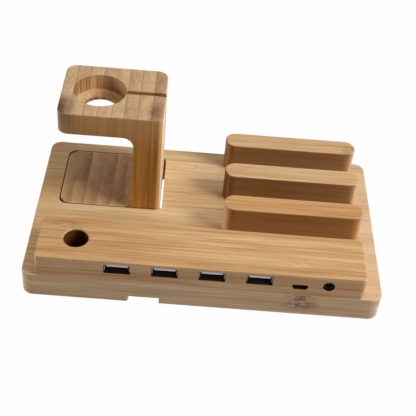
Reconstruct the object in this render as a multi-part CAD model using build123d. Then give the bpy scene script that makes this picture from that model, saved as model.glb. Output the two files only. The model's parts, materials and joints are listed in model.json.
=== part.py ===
from build123d import *
import os

# Bamboo charging station organizer.
# Millimetres. +X runs to the right along the front, +Y to the back, +Z up.
# The origin is the middle of the footprint, on the surface that the feet stand on.

# Board
board_width = 190.0
board_depth = 112.0
board_thickness = 15.2
board_corner_radius = 6.0
edge_round = 0.8
overrun = 5.0

# Raised front block, milled from the same board
block_rise = 14.0
block_depth = 30.5
block_left_inset = 7.8
block_right_inset = 10.5
block_front_corner_radius = 2.5
block_back_corner_radius = 4.0

# Rubber feet
foot_radius = 4.5
foot_thickness = 2.0
foot_seat_depth = 0.8
foot_seat_gap = 0.1
foot_edge_chamfer = 0.4
foot_inset = 8.0

# Pen hole
pen_hole_radius = 6.65
pen_hole_depth = 20.0
pen_hole_from_left = 27.4
pen_hole_from_front = 15.8
pen_hole_chamfer = 0.5

# Watch stand
stand_width = 56.5
stand_depth = 46.4
stand_rise = 62.3
stand_from_left = 12.0
stand_from_back = 8.1
arm_thickness = 13.0
post_width = 15.5
stand_foot_thickness = 8.0
stand_inner_radius = 6.0
stand_corner_radius = 6.0
stand_front_right_radius = 3.0

# Watch charger recess in the arm, and the way its lead takes
puck_recess_radius = 14.45
puck_recess_depth = 9.0
puck_from_left = 20.7
puck_back_shift = 0.3
push_hole_radius = 9.5
push_hole_chamfer = 2.0
lead_slit_width = 3.0
lead_groove_depth = 3.2

# Recess in the board for the watch stand, with a slot that goes right through
recess_side_gap = 0.7
recess_floor_gap = 0.3
recess_corner_less = 1.0
slot_gap = 1.4
slot_under_foot = 3.0
slot_front_margin = 1.5
slot_back_margin = 3.9

# Cable channel under the board, from the slot to the notch in the front edge
channel_width = 16.2
channel_depth = 4.4
channel_past_slot = 3.0
channel_end_margin = 1.6
notch_corner_radius = 1.4

# Dividers and their dowels
divider_count = 3
divider_length = 76.4
divider_thickness = 12.25
divider_height = 18.8
divider_from_block = 10.85
divider_from_right = 9.3
divider_from_back = 3.0
dowel_radius = 3.0
dowel_depth = 10.0
dowel_inset = 15.0
dowel_side_gap = 0.1
dowel_end_gap = 0.6
dowel_chamfer = 0.6

# Hub cavity in the block, open to the underside
front_wall = 4.0
back_wall = 4.0
cavity_roof = 2.0
cavity_left_wall = 28.2
cavity_right_wall = 8.7
ledge_left = 6.0
ledge_right = 4.8

# Cover under the hub cavity
cover_thickness = 2.0
cover_depth_in_board = 4.6
cover_gap = 0.3
cover_corner_radius = 3.0
cover_end_rim = 4.7
cover_left_rim = 7.0
cover_front_rim = 1.0
cover_back_rim = 7.5
cover_screw_radius = 1.3
cover_screw_head_radius = 2.1
cover_screw_head_height = 1.4
cover_screw_bite = 7.0
cover_screw_edge = 2.6
cover_screw_left_edge = 3.2
cover_screw_front_edge = 4.7
cover_screw_back_edge = 3.6
screw_gap = 0.05
screw_hole_gap = 0.2
screw_recess_width = 0.7
screw_recess_depth = 0.7

# Circuit board
circuit_board_thickness = 1.6
circuit_board_depth = 20.0
circuit_board_end_gap = 0.5
circuit_board_front_gap = 1.0
port_line_height = 19.6
board_screw_radius = 1.1
board_screw_head_radius = 1.9
board_screw_head_height = 1.3
board_screw_bite = 5.0
board_screw_left_edge = 2.6
board_screw_right_edge = 2.2
board_screw_side_edge = 4.0

# Row of ports: four USB-A, one micro-USB, one power inlet
ports_from_left = 50.45
ports_from_right = 29.7
port_place_shares = (0, 0.224, 0.448, 0.672, 0.865, 1)

# USB-A ports
usb_count = 4
usb_centre_height = 4.3
usb_cutout_side_gap = 0.3
usb_cutout_top_gap = 0.2
usb_shell_width = 13.2
usb_shell_height = 5.8
usb_shell_length = 14.0
usb_shell_wall = 0.3
usb_shell_corner = 0.6
usb_setback = 1.1
usb_leg_width = 1.6
usb_leg_from_front = 5.0
usb_leg_spacing = 6.5
usb_leg_below_board = 0.9
usb_leg_shoulder = 0.5
usb_tongue_side_gap = 0.75
usb_tongue_thickness = 1.84
usb_tongue_setback = 0.4
usb_tongue_above_centre = 0.15
usb_heel_length = 4.4
usb_outer_pin_offset = 3.5
usb_inner_pin_offset = 1.0
usb_pin_width = 1.0
usb_pin_thickness = 0.25
usb_pin_setback = 1.2
usb_pin_tail = 0.9
usb_pin_gap = 0.08
pin_below_board = 0.8

# Micro-USB port
micro_centre_height = 1.5
micro_cutout_side_gap = 0.35
micro_cutout_top_gap = 0.25
micro_shell_width = 7.5
micro_shell_height = 2.7
micro_shell_corner = 0.8
micro_shell_length = 5.6
micro_shell_wall = 0.25
micro_setback = 1.6
micro_tongue_width = 3.9
micro_tongue_thickness = 0.6
micro_tongue_length = 3.4
micro_heel_length = 1.4
micro_pin_count = 5
micro_pin_pitch = 0.65
micro_pin_width = 0.3
micro_pin_thickness = 0.15
micro_pin_tail = 0.8
micro_pin_gap = 0.04

# Round power inlet
inlet_centre_height = 3.3
inlet_hole_gap = 0.2
inlet_nose_radius = 2.9
inlet_bore_radius = 1.9
inlet_bore_length = 9.0
inlet_setback = 1.2
inlet_body_width = 6.5
inlet_body_length = 10.0
inlet_body_gap = 0.2
inlet_pin_radius = 0.65
inlet_pin_setback = 0.8
inlet_tail_width = 1.6
inlet_tail_thickness = 0.3
inlet_spring_width = 2.0
inlet_spring_length = 7.5
inlet_spring_gap = 0.06
inlet_spring_tail_from_front = 4.0

# Parts on the circuit board
chip_length = 10.2
chip_width = 5.3
chip_height = 1.7
chip_lead_count = 14
chip_lead_pitch = 0.65
chip_lead_width = 0.25
chip_lead_reach = 0.9
chip_lead_thickness = 0.2
rear_line_from_back = 4.2
crystal_length = 11.0
crystal_width = 4.5
crystal_height = 3.5
can_round_share = 0.45
capacitor_radius = 2.5
capacitor_height = 6.0
capacitor_chamfer = 0.4
inductor_side = 5.0
inductor_height = 3.0
inductor_corner_radius = 0.8
regulator_length = 6.5
regulator_width = 3.5
regulator_height = 1.6
fuse_length = 4.5
fuse_width = 3.2
fuse_height = 0.9
small_part_length = 1.6
small_part_width = 0.8
small_part_height = 0.5
small_part_from_rear_line = 5.2

# Places that follow from the sizes
half_width = board_width / 2
half_depth = board_depth / 2
board_low = foot_thickness - foot_seat_depth
board_top = board_low + board_thickness
block_top = board_top + block_rise
front_y = -half_depth
block_x_low = block_left_inset - half_width
block_x_high = half_width - block_right_inset
block_back_y = front_y + block_depth

stand_x_low = stand_from_left - half_width
stand_x_high = stand_x_low + stand_width
stand_y_high = half_depth - stand_from_back
stand_y_low = stand_y_high - stand_depth
stand_low = board_top - stand_foot_thickness
stand_top = board_top + stand_rise
arm_low = stand_top - arm_thickness
post_x_low = stand_x_high - post_width
puck_x = stand_x_low + puck_from_left
puck_y = (stand_y_low + stand_y_high) / 2 + puck_back_shift

recess_floor = stand_low - recess_floor_gap
recess_corner_radius = stand_corner_radius - recess_corner_less
slot_x_high = stand_x_high + slot_gap
slot_x_low = stand_x_high - slot_under_foot
slot_y_low = stand_y_low + slot_front_margin - recess_side_gap
slot_y_high = stand_y_high - slot_back_margin + recess_side_gap
channel_x_high = slot_x_high + channel_past_slot
channel_x_low = channel_x_high - channel_width
channel_y_high = slot_y_high + channel_end_margin
channel_top = board_low + channel_depth

divider_x_high = half_width - divider_from_right
divider_x_low = divider_x_high - divider_length
rear_divider_y = half_depth - divider_from_back - divider_thickness / 2
front_divider_y = block_back_y + divider_from_block + divider_thickness / 2
divider_pitch = (rear_divider_y - front_divider_y) / (divider_count - 1)

cavity_x_low = block_x_low + cavity_left_wall
cavity_x_high = block_x_high - cavity_right_wall
cavity_y_low = front_y + front_wall
cavity_y_high = block_back_y - back_wall
cavity_top = block_top - cavity_roof
pocket_x_low = cavity_x_low + ledge_left
pocket_x_high = cavity_x_high - ledge_right

cover_low = board_low + cover_depth_in_board
cover_top = cover_low + cover_thickness
rebate_x_low = cavity_x_low - cover_left_rim
rebate_x_high = cavity_x_high + cover_end_rim
rebate_y_low = cavity_y_low - cover_front_rim
rebate_y_high = cavity_y_high + cover_back_rim

circuit_top = board_low + port_line_height
circuit_low = circuit_top - circuit_board_thickness
circuit_x_low = cavity_x_low + circuit_board_end_gap
circuit_x_high = cavity_x_high - circuit_board_end_gap
circuit_y_low = cavity_y_low + circuit_board_front_gap
circuit_y_high = circuit_y_low + circuit_board_depth
rear_line_y = circuit_y_high - rear_line_from_back

first_port_x = ports_from_left - half_width
port_span = board_width - ports_from_left - ports_from_right
port_x = [first_port_x + share * port_span for share in port_place_shares]

usb_z = circuit_top + usb_centre_height
usb_front_y = front_y + usb_setback
usb_back_y = usb_front_y + usb_shell_length
micro_x = port_x[usb_count]
micro_z = circuit_top + micro_centre_height
micro_front_y = front_y + micro_setback
micro_back_y = micro_front_y + micro_shell_length
inlet_x = port_x[usb_count + 1]
inlet_z = circuit_top + inlet_centre_height
inlet_front_y = front_y + inlet_setback
inlet_body_y = cavity_y_low + inlet_body_gap
inlet_back_y = inlet_body_y + inlet_body_length


def divider_y(index):
    """Middle of a divider, counted from the back."""
    return rear_divider_y - index * divider_pitch


# Shapes that several pieces share

def block_between(low, high):
    """A box from its lowest to its highest corner."""
    size = [b - a for a, b in zip(low, high)]
    middle = [(a + b) / 2 for a, b in zip(low, high)]
    return Pos(*middle) * Box(*size)


def upright_rod(x, y, z_low, z_high, radius):
    """A cylinder along Z."""
    return Pos(x, y, (z_low + z_high) / 2) * Cylinder(radius, z_high - z_low)


def lying_rod(x, z, y_low, y_high, radius):
    """A cylinder along Y."""
    return Pos(x, (y_low + y_high) / 2, z) * Rot(X=90) * Cylinder(radius, y_high - y_low)


def rounded_block(low, high, radius):
    """A box whose upright edges are rounded."""
    size = [b - a for a, b in zip(low, high)]
    middle = [(a + b) / 2 for a, b in zip(low, high)]
    outline = RectangleRounded(size[0], size[1], radius)
    return Pos(middle[0], middle[1], low[2]) * extrude(outline, size[2])


def corner_block(low, high, front_radii, back_radii):
    """A box whose four upright edges have their own radii, left before right."""
    solid = block_between(low, high)
    for y_index, radii in ((0, front_radii), (-1, back_radii)):
        for x_index, radius in ((0, radii[0]), (-1, radii[1])):
            row = solid.edges().filter_by(Axis.Z).group_by(Axis.Y)[y_index]
            solid = fillet(row.group_by(Axis.X)[x_index], radius)
    return solid


def ease_top(solid, size):
    """Round the edges of a solid's top face."""
    return fillet(solid.faces().sort_by(Axis.Z)[-1].outer_wire().edges(), size)


def ease_bottom(solid, size):
    """Round the edges of a solid's lowest face."""
    return fillet(solid.faces().sort_by(Axis.Z)[0].outer_wire().edges(), size)


def pan_head_screw(x, y, head_top, shank_top, radius, head_radius, head_height):
    """A screw driven upwards, with a cross recess in its head."""
    head_low = head_top - head_height
    screw = upright_rod(x, y, head_low, head_top, head_radius)
    rim = screw.edges().filter_by(GeomType.CIRCLE).sort_by(Axis.Z)[0]
    screw = fillet(rim, head_height / 2)
    screw += upright_rod(x, y, head_top, shank_top, radius)
    tip = screw.edges().filter_by(GeomType.CIRCLE).sort_by(Axis.Z)[-1]
    screw = chamfer(tip, radius / 2)
    for long_x in (True, False):
        reach_x = head_radius / 2 if long_x else screw_recess_width / 2
        reach_y = screw_recess_width / 2 if long_x else head_radius / 2
        screw -= block_between((x - reach_x, y - reach_y, head_low - overrun),
                               (x + reach_x, y + reach_y, head_low + screw_recess_depth))
    return screw


# Bamboo pieces

def foot_places():
    """Middles of the four feet, with a name for each."""
    x = half_width - foot_inset
    y = half_depth - foot_inset
    return {"front_left": (-x, -y), "front_right": (x, -y), "rear_left": (-x, y), "rear_right": (x, y)}


def cover_screw_places():
    """Middles of the six screws that hold the cover."""
    left = rebate_x_low + cover_screw_left_edge
    right = rebate_x_high - cover_screw_edge
    front = rebate_y_low + cover_screw_front_edge
    back = rebate_y_high - cover_screw_back_edge
    third = (right - left) / 3
    return [(left, front), (right, front), (left, back), (left + third, back),
            (left + 2 * third, back), (right, back)]


def board_screw_places():
    """Middles of the four screws that hold the circuit board."""
    left = circuit_x_low + board_screw_left_edge
    right = circuit_x_high - board_screw_right_edge
    front = circuit_y_low + board_screw_side_edge
    back = circuit_y_high - board_screw_side_edge
    return [(x, y) for x in (left, right) for y in (front, back)]


def dowel_places(index):
    """Middles of the two dowels under one divider."""
    y = divider_y(index)
    return [(divider_x_low + dowel_inset, y), (divider_x_high - dowel_inset, y)]


def blank_board():
    """The board with its raised block, before anything is cut into it."""
    plate = rounded_block((-half_width, front_y, board_low), (half_width, half_depth, board_top),
                          board_corner_radius)
    plate = ease_bottom(ease_top(plate, edge_round), edge_round)
    block = corner_block((block_x_low, front_y, board_low + board_thickness / 2),
                         (block_x_high, block_back_y, block_top),
                         (block_front_corner_radius, block_front_corner_radius),
                         (block_back_corner_radius, block_back_corner_radius))
    return plate + ease_top(block, edge_round)


def stand_recess():
    """The pocket that the watch stand drops into, and the slot beside its post."""
    pocket = rounded_block((stand_x_low - recess_side_gap, stand_y_low - recess_side_gap, recess_floor),
                           (slot_x_high, stand_y_high + recess_side_gap, board_top + overrun),
                           recess_corner_radius)
    slot = block_between((slot_x_low, slot_y_low, board_low - overrun),
                         (slot_x_high, slot_y_high, board_top))
    return pocket + slot


def cable_channel():
    """The groove under the board, with a round end, that opens as the notch in front."""
    middle_x = (channel_x_low + channel_x_high) / 2
    end_y = channel_y_high - channel_width / 2
    run = block_between((channel_x_low, front_y - overrun, board_low - overrun),
                        (channel_x_high, end_y, channel_top))
    return run + upright_rod(middle_x, end_y, board_low - overrun, channel_top, channel_width / 2)


def hub_cavity():
    """The room for the hub: a wide lower pocket, and a shorter one above the ledges."""
    lower = block_between((cavity_x_low, cavity_y_low, cover_low),
                          (cavity_x_high, cavity_y_high, circuit_top))
    upper = block_between((pocket_x_low, cavity_y_low, circuit_low),
                          (pocket_x_high, cavity_y_high, cavity_top))
    rebate = rounded_block((rebate_x_low, rebate_y_low, board_low - overrun),
                           (rebate_x_high, rebate_y_high, cover_top), cover_corner_radius)
    return lower + upper + rebate


def port_prism(outline, x, z, y_low, y_high):
    """A port's outline, seen from the front, made solid along Y."""
    front = Plane(origin=(x, y_low, z), x_dir=(1, 0, 0), z_dir=(0, -1, 0))
    return extrude(front * outline, y_low - y_high)


def micro_outline(width, height, corner):
    """A rectangle with its two lower corners cut, seen from the front."""
    half = width / 2
    low = -height / 2
    high = height / 2
    points = [(-half, high), (half, high), (half, low + corner), (half - corner, low),
              (corner - half, low), (-half, low + corner)]
    return make_face(Polyline(*points, close=True))


def micro_prism(width, height, corner, y_low, y_high):
    """The micro-USB outline, made solid along Y."""
    return port_prism(micro_outline(width, height, corner), micro_x, micro_z, y_low, y_high)


def port_cutouts():
    """The openings through the front wall."""
    outside = front_y - overrun
    inside = cavity_y_low + circuit_board_front_gap
    cuts = lying_rod(inlet_x, inlet_z, outside, inside, inlet_nose_radius + inlet_hole_gap)
    cuts += micro_prism(micro_shell_width + 2 * micro_cutout_side_gap,
                        micro_shell_height + 2 * micro_cutout_top_gap,
                        micro_shell_corner + micro_cutout_side_gap, outside, inside)
    half_w = usb_shell_width / 2 + usb_cutout_side_gap
    half_h = usb_shell_height / 2 + usb_cutout_top_gap
    for index in range(usb_count):
        x = port_x[index]
        cuts += block_between((x - half_w, outside, usb_z - half_h), (x + half_w, inside, usb_z + half_h))
    return cuts


def pen_hole():
    """The round pen hole, with its eased rim."""
    x = pen_hole_from_left - half_width
    y = front_y + pen_hole_from_front
    hole = upright_rod(x, y, block_top - pen_hole_depth, block_top + overrun, pen_hole_radius)
    rim_height = pen_hole_chamfer * 2
    rim = Cone(pen_hole_radius, pen_hole_radius + rim_height, rim_height)
    return hole + Pos(x, y, block_top + rim_height / 2 - pen_hole_chamfer) * rim


def ease_notch(board):
    """Round the lower left corner of the notch in the front edge."""
    sides = board.edges().filter_by(Axis.Y).filter_by_position(
        Axis.X, channel_x_low - notch_corner_radius, channel_x_low + notch_corner_radius)
    front = sides.filter_by_position(Axis.Y, front_y, rebate_y_low)
    return fillet(front.sort_by(Axis.Z)[0], notch_corner_radius)


def base_board():
    """The bamboo board with every pocket and hole."""
    board = blank_board() - stand_recess() - cable_channel() - hub_cavity() - port_cutouts() - pen_hole()
    for x, y in foot_places().values():
        board -= upright_rod(x, y, board_low - overrun, foot_thickness, foot_radius + foot_seat_gap)
    for index in range(divider_count):
        for x, y in dowel_places(index):
            board -= upright_rod(x, y, board_top - dowel_depth, board_top + overrun,
                                 dowel_radius + dowel_side_gap)
    for x, y in cover_screw_places():
        board -= upright_rod(x, y, cover_low, cover_top + cover_screw_bite + screw_gap,
                             cover_screw_radius + screw_gap)
    for x, y in board_screw_places():
        board -= upright_rod(x, y, circuit_low, circuit_top + board_screw_bite + screw_gap,
                             board_screw_radius + screw_gap)
    return ease_notch(board)


def watch_stand():
    """The C-shaped stand: foot, post and arm in one piece of wood."""
    foot = block_between((stand_x_low, stand_y_low, stand_low), (stand_x_high, stand_y_high, board_top))
    post = block_between((post_x_low, stand_y_low, stand_low), (stand_x_high, stand_y_high, stand_top))
    arm = block_between((stand_x_low, stand_y_low, arm_low), (stand_x_high, stand_y_high, stand_top))
    profile = foot + post + arm
    inner = profile.edges().filter_by(Axis.Y).filter_by_position(
        Axis.X, post_x_low - edge_round, post_x_low + edge_round)
    profile = fillet(inner, stand_inner_radius)
    outline = corner_block((stand_x_low, stand_y_low, stand_low), (stand_x_high, stand_y_high, stand_top),
                           (stand_corner_radius, stand_front_right_radius),
                           (stand_corner_radius, stand_corner_radius))
    stand = ease_bottom(ease_top(profile & outline, edge_round), edge_round)
    stand -= upright_rod(puck_x, puck_y, stand_top - puck_recess_depth, stand_top + overrun,
                         puck_recess_radius)
    stand -= upright_rod(puck_x, puck_y, arm_low - overrun, stand_top, push_hole_radius)
    ledge = stand_top - puck_recess_depth
    flare = Cone(push_hole_radius, push_hole_radius + push_hole_chamfer, push_hole_chamfer)
    stand -= Pos(puck_x, puck_y, ledge - push_hole_chamfer / 2) * flare
    stand -= block_between((puck_x, puck_y - lead_slit_width / 2, ledge),
                           (stand_x_high + overrun, puck_y + lead_slit_width / 2, stand_top + overrun))
    stand -= block_between((stand_x_high - lead_groove_depth, puck_y - lead_slit_width / 2,
                            stand_low - overrun),
                           (stand_x_high + overrun, puck_y + lead_slit_width / 2, stand_top))
    return stand


def divider(index):
    """One upright divider with half-round ends, and blind holes for its dowels."""
    outline = SlotOverall(divider_length, divider_thickness)
    middle_x = (divider_x_low + divider_x_high) / 2
    slab = Pos(middle_x, divider_y(index), board_top) * extrude(outline, divider_height)
    slab = ease_top(slab, edge_round)
    for x, y in dowel_places(index):
        slab -= upright_rod(x, y, board_top - overrun, board_top + dowel_depth,
                            dowel_radius + dowel_side_gap)
    return slab


def divider_dowels(index):
    """The two dowels of one divider."""
    pair = Part()
    for x, y in dowel_places(index):
        dowel = upright_rod(x, y, board_top - dowel_depth, board_top + dowel_depth - dowel_end_gap,
                            dowel_radius)
        pair += chamfer(dowel.edges().filter_by(GeomType.CIRCLE), dowel_chamfer)
    return pair


# Feet, cover and screws

def rubber_foot(x, y):
    """A round foot, seated in the underside."""
    foot = upright_rod(x, y, 0, foot_thickness, foot_radius)
    rim = foot.edges().filter_by(GeomType.CIRCLE).sort_by(Axis.Z)[0]
    return chamfer(rim, foot_edge_chamfer)


def hub_cover():
    """The plate that closes the hub cavity."""
    plate = rounded_block((rebate_x_low + cover_gap, rebate_y_low + cover_gap, cover_low),
                          (rebate_x_high - cover_gap, rebate_y_high - cover_gap, cover_top),
                          cover_corner_radius - cover_gap)
    for x, y in cover_screw_places():
        plate -= upright_rod(x, y, cover_low - overrun, cover_top + overrun,
                             cover_screw_radius + screw_hole_gap)
    return plate


def cover_screws():
    """The six screws of the cover."""
    group = Part()
    for x, y in cover_screw_places():
        group += pan_head_screw(x, y, cover_low, cover_top + cover_screw_bite, cover_screw_radius,
                                cover_screw_head_radius, cover_screw_head_height)
    return group


def circuit_board_screws():
    """The four screws of the circuit board."""
    group = Part()
    for x, y in board_screw_places():
        group += pan_head_screw(x, y, circuit_low, circuit_top + board_screw_bite, board_screw_radius,
                                board_screw_head_radius, board_screw_head_height)
    return group


# USB-A ports

def usb_leg_spans():
    """Front and back of each shell leg."""
    for step in (0, 1):
        start = usb_front_y + usb_leg_from_front + step * usb_leg_spacing
        yield start, start + usb_leg_width


def usb_pin_places(index):
    """Middles of the four contacts of one port."""
    offsets = (-usb_outer_pin_offset, -usb_inner_pin_offset, usb_inner_pin_offset, usb_outer_pin_offset)
    return [port_x[index] + offset for offset in offsets]


def usb_leg(x, side, y_low, y_high, gap=0.0):
    """One shell leg, or its hole in the circuit board when a gap is given."""
    outer = x + side * usb_shell_width / 2
    inner = outer - side * usb_shell_wall
    low = circuit_low - usb_leg_below_board
    return block_between((min(outer, inner) - gap, y_low - gap, low - gap),
                         (max(outer, inner) + gap, y_high + gap, usb_z))


def usb_leg_shoulders(x, side, y_low, y_high):
    """The wider part of a leg, which stands on the circuit board."""
    outer = x + side * usb_shell_width / 2
    inner = outer - side * usb_shell_wall
    return block_between((min(outer, inner), y_low - usb_leg_shoulder, circuit_top),
                         (max(outer, inner), y_high + usb_leg_shoulder, usb_z))


def usb_inside(index, y_low, y_high):
    """The room inside one shell, between two depths."""
    inner = RectangleRounded(usb_shell_width - 2 * usb_shell_wall, usb_shell_height - 2 * usb_shell_wall,
                             usb_shell_corner - usb_shell_wall)
    return port_prism(inner, port_x[index], usb_z, y_low, y_high)


def usb_shell(index):
    """The bent metal shell with its four legs."""
    x = port_x[index]
    outer = RectangleRounded(usb_shell_width, usb_shell_height, usb_shell_corner)
    shell = port_prism(outer, x, usb_z, usb_front_y, usb_back_y)
    shell -= usb_inside(index, usb_front_y - overrun, usb_back_y + overrun)
    for side in (-1, 1):
        for y_low, y_high in usb_leg_spans():
            shell += usb_leg(x, side, y_low, y_high)
            shell += usb_leg_shoulders(x, side, y_low, y_high)
    return shell


def usb_pin(x, gap=0.0):
    """One contact, bent down at the back, or the room for it when a gap is given."""
    top = usb_z + usb_tongue_above_centre
    low = top - usb_pin_thickness
    half = usb_pin_width / 2 + gap
    back = usb_back_y + usb_pin_tail
    strip = block_between((x - half, usb_front_y + usb_pin_setback, low - gap), (x + half, back, top + gap))
    tail = block_between((x - half, back - usb_pin_thickness - gap, circuit_low - pin_below_board - gap),
                         (x + half, back + gap, top + gap))
    return strip + tail


def usb_tongue(index):
    """The moulded tongue and the heel that fills the back of the shell."""
    x = port_x[index]
    half = usb_shell_width / 2 - usb_shell_wall - usb_tongue_side_gap
    low = usb_z + usb_tongue_above_centre
    front = usb_front_y + usb_tongue_setback
    tongue = block_between((x - half, front, low), (x + half, usb_back_y, low + usb_tongue_thickness))
    tip = tongue.edges().filter_by(Axis.X).group_by(Axis.Y)[0]
    tongue = chamfer(tip, usb_pin_thickness)
    tongue += usb_inside(index, usb_back_y - usb_heel_length, usb_back_y)
    for pin_x in usb_pin_places(index):
        half_pin = usb_pin_width / 2 + usb_pin_gap
        tongue -= block_between((pin_x - half_pin, usb_back_y - usb_heel_length - overrun,
                                 low - usb_pin_thickness - usb_pin_gap),
                                (pin_x + half_pin, usb_back_y + overrun, low))
    return tongue


def usb_contacts(index):
    """The four contacts of one port."""
    group = Part()
    for x in usb_pin_places(index):
        group += usb_pin(x)
    return group


# Micro-USB port

def micro_pin_places():
    """Middles of the contacts of the micro-USB port."""
    middle = (micro_pin_count - 1) / 2
    return [micro_x + (step - middle) * micro_pin_pitch for step in range(micro_pin_count)]


def micro_shell():
    """The small metal shell, seated on the circuit board."""
    outer = micro_prism(micro_shell_width, micro_shell_height, micro_shell_corner,
                        micro_front_y, micro_back_y)
    inner = micro_prism(micro_shell_width - 2 * micro_shell_wall, micro_shell_height - 2 * micro_shell_wall,
                        micro_shell_corner, micro_front_y - overrun, micro_back_y + overrun)
    shell = outer - inner
    foot_low = circuit_top
    foot_high = micro_z - micro_shell_height / 2 + micro_shell_wall
    half = micro_shell_width / 2 - micro_shell_corner
    for side in (-1, 1):
        shell += block_between((micro_x + min(side * half, side * half / 2), circuit_y_low, foot_low),
                               (micro_x + max(side * half, side * half / 2), micro_back_y, foot_high))
    return shell


def micro_tongue():
    """The moulded tongue of the micro-USB port and its heel."""
    inner_width = micro_shell_width - 2 * micro_shell_wall
    inner_height = micro_shell_height - 2 * micro_shell_wall
    half = micro_tongue_width / 2
    tip_y = micro_back_y - micro_heel_length - micro_tongue_length
    heel = micro_prism(inner_width, inner_height, micro_shell_corner,
                       micro_back_y - micro_heel_length, micro_back_y)
    tongue = heel + block_between((micro_x - half, tip_y, micro_z),
                                  (micro_x + half, micro_back_y, micro_z + micro_tongue_thickness))
    for x in micro_pin_places():
        reach = micro_pin_width / 2 + micro_pin_gap
        tongue -= block_between((x - reach, micro_back_y - micro_heel_length - overrun,
                                 micro_z - micro_pin_thickness - micro_pin_gap),
                                (x + reach, micro_back_y + overrun, micro_z))
    return tongue


def micro_contacts():
    """The contacts of the micro-USB port, bent down onto the circuit board."""
    group = Part()
    tip_y = micro_back_y - micro_heel_length - micro_tongue_length + micro_pin_thickness
    back = micro_back_y + micro_pin_tail
    half = micro_pin_width / 2
    for x in micro_pin_places():
        strip = block_between((x - half, tip_y, micro_z - micro_pin_thickness), (x + half, back, micro_z))
        tail = block_between((x - half, back - micro_pin_thickness, circuit_top), (x + half, back, micro_z))
        group += strip + tail
    return group


# Round power inlet

def inlet_spring_tail(gap=0.0):
    """The tail of the sprung strip, or the room for it when a gap is given."""
    y = inlet_body_y + inlet_spring_tail_from_front
    half = inlet_tail_width / 2 + gap
    return block_between((inlet_x - half, y - gap, circuit_low - pin_below_board - gap),
                         (inlet_x + half, y + inlet_tail_thickness + gap, inlet_z - inlet_bore_radius))


def inlet_pin_tail(gap=0.0):
    """The flat tail of the centre pin, or the room for it when a gap is given."""
    half = inlet_tail_width / 2 + gap
    return block_between((inlet_x - half, inlet_back_y - gap, circuit_low - pin_below_board - gap),
                         (inlet_x + half, inlet_back_y + inlet_tail_thickness + gap,
                          inlet_z + inlet_pin_radius))


def inlet_body():
    """The moulded body of the power inlet, with its round nose and bore."""
    half = inlet_body_width / 2
    body = block_between((inlet_x - half, inlet_body_y, circuit_top),
                         (inlet_x + half, inlet_back_y, inlet_z + half))
    body += lying_rod(inlet_x, inlet_z, inlet_front_y, inlet_body_y + inlet_body_gap, inlet_nose_radius)
    body -= lying_rod(inlet_x, inlet_z, inlet_front_y - overrun, inlet_front_y + inlet_bore_length,
                      inlet_bore_radius)
    body -= lying_rod(inlet_x, inlet_z, inlet_front_y, inlet_back_y + overrun,
                      inlet_pin_radius + inlet_spring_gap)
    spring_half = inlet_spring_width / 2 + inlet_spring_gap
    slot_low = inlet_z - inlet_bore_radius - inlet_tail_thickness
    body -= block_between((inlet_x - spring_half, inlet_body_y + inlet_body_gap, slot_low),
                          (inlet_x + spring_half, inlet_body_y + inlet_spring_length + inlet_body_gap,
                           inlet_z - inlet_bore_radius / 2))
    return body - inlet_spring_tail(inlet_spring_gap)


def inlet_pin():
    """The centre pin, riveted to a flat tail that lies against the back of the body."""
    pin = lying_rod(inlet_x, inlet_z, inlet_front_y + inlet_pin_setback, inlet_back_y, inlet_pin_radius)
    tip = pin.edges().filter_by(GeomType.CIRCLE).sort_by(Axis.Y)[0]
    return chamfer(tip, inlet_pin_radius / 2) + inlet_pin_tail()


def inlet_spring():
    """The sprung strip under the bore, with a tail through the circuit board."""
    top = inlet_z - inlet_bore_radius
    half = inlet_spring_width / 2
    front = inlet_body_y + inlet_body_gap + inlet_spring_gap
    strip = block_between((inlet_x - half, front, top - inlet_tail_thickness),
                          (inlet_x + half, inlet_body_y + inlet_spring_length, top))
    return strip + inlet_spring_tail()


# Circuit board and the parts on it

def part_on_board(x, y, length, width, height):
    """A plain moulded part standing on the circuit board."""
    return block_between((x - length / 2, y - width / 2, circuit_top),
                         (x + length / 2, y + width / 2, circuit_top + height))


def between_ports(index):
    """The middle between one port and the next."""
    return (port_x[index] + port_x[index + 1]) / 2


def circuit_board():
    """The circuit board, with its holes."""
    board = block_between((circuit_x_low, circuit_y_low, circuit_low),
                          (circuit_x_high, circuit_y_high, circuit_top))
    for x, y in board_screw_places():
        board -= upright_rod(x, y, circuit_low - overrun, circuit_top + overrun,
                             board_screw_radius + screw_hole_gap)
    for index in range(usb_count):
        for side in (-1, 1):
            for y_low, y_high in usb_leg_spans():
                board -= usb_leg(port_x[index], side, y_low, y_high, screw_gap)
        for x in usb_pin_places(index):
            board -= usb_pin(x, usb_pin_gap)
    return board - inlet_spring_tail(inlet_spring_gap) - inlet_pin_tail(inlet_spring_gap)


def hub_chip():
    """The hub controller with its two rows of leads."""
    x = between_ports(1)
    chip = block_between((x - chip_length / 2, rear_line_y - chip_width / 2,
                          circuit_top + chip_lead_thickness),
                         (x + chip_length / 2, rear_line_y + chip_width / 2, circuit_top + chip_height))
    middle = (chip_lead_count - 1) / 2
    half = chip_lead_width / 2
    reach = chip_width / 2 + chip_lead_reach
    for step in range(chip_lead_count):
        lead_x = x + (step - middle) * chip_lead_pitch
        chip += block_between((lead_x - half, rear_line_y - reach, circuit_top),
                              (lead_x + half, rear_line_y + reach, circuit_top + chip_lead_thickness))
    return chip


def crystal():
    """The crystal in its flat can."""
    x = between_ports(0)
    return rounded_block((x - crystal_length / 2, rear_line_y - crystal_width / 2, circuit_top),
                         (x + crystal_length / 2, rear_line_y + crystal_width / 2,
                          circuit_top + crystal_height), crystal_width * can_round_share)


def filter_capacitors():
    """Two upright capacitors near the power inlet."""
    group = Part()
    for x in (between_ports(2), micro_x):
        can = upright_rod(x, rear_line_y, circuit_top, circuit_top + capacitor_height, capacitor_radius)
        rim = can.edges().filter_by(GeomType.CIRCLE).sort_by(Axis.Z)[-1]
        group += chamfer(rim, capacitor_chamfer)
    return group


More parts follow.
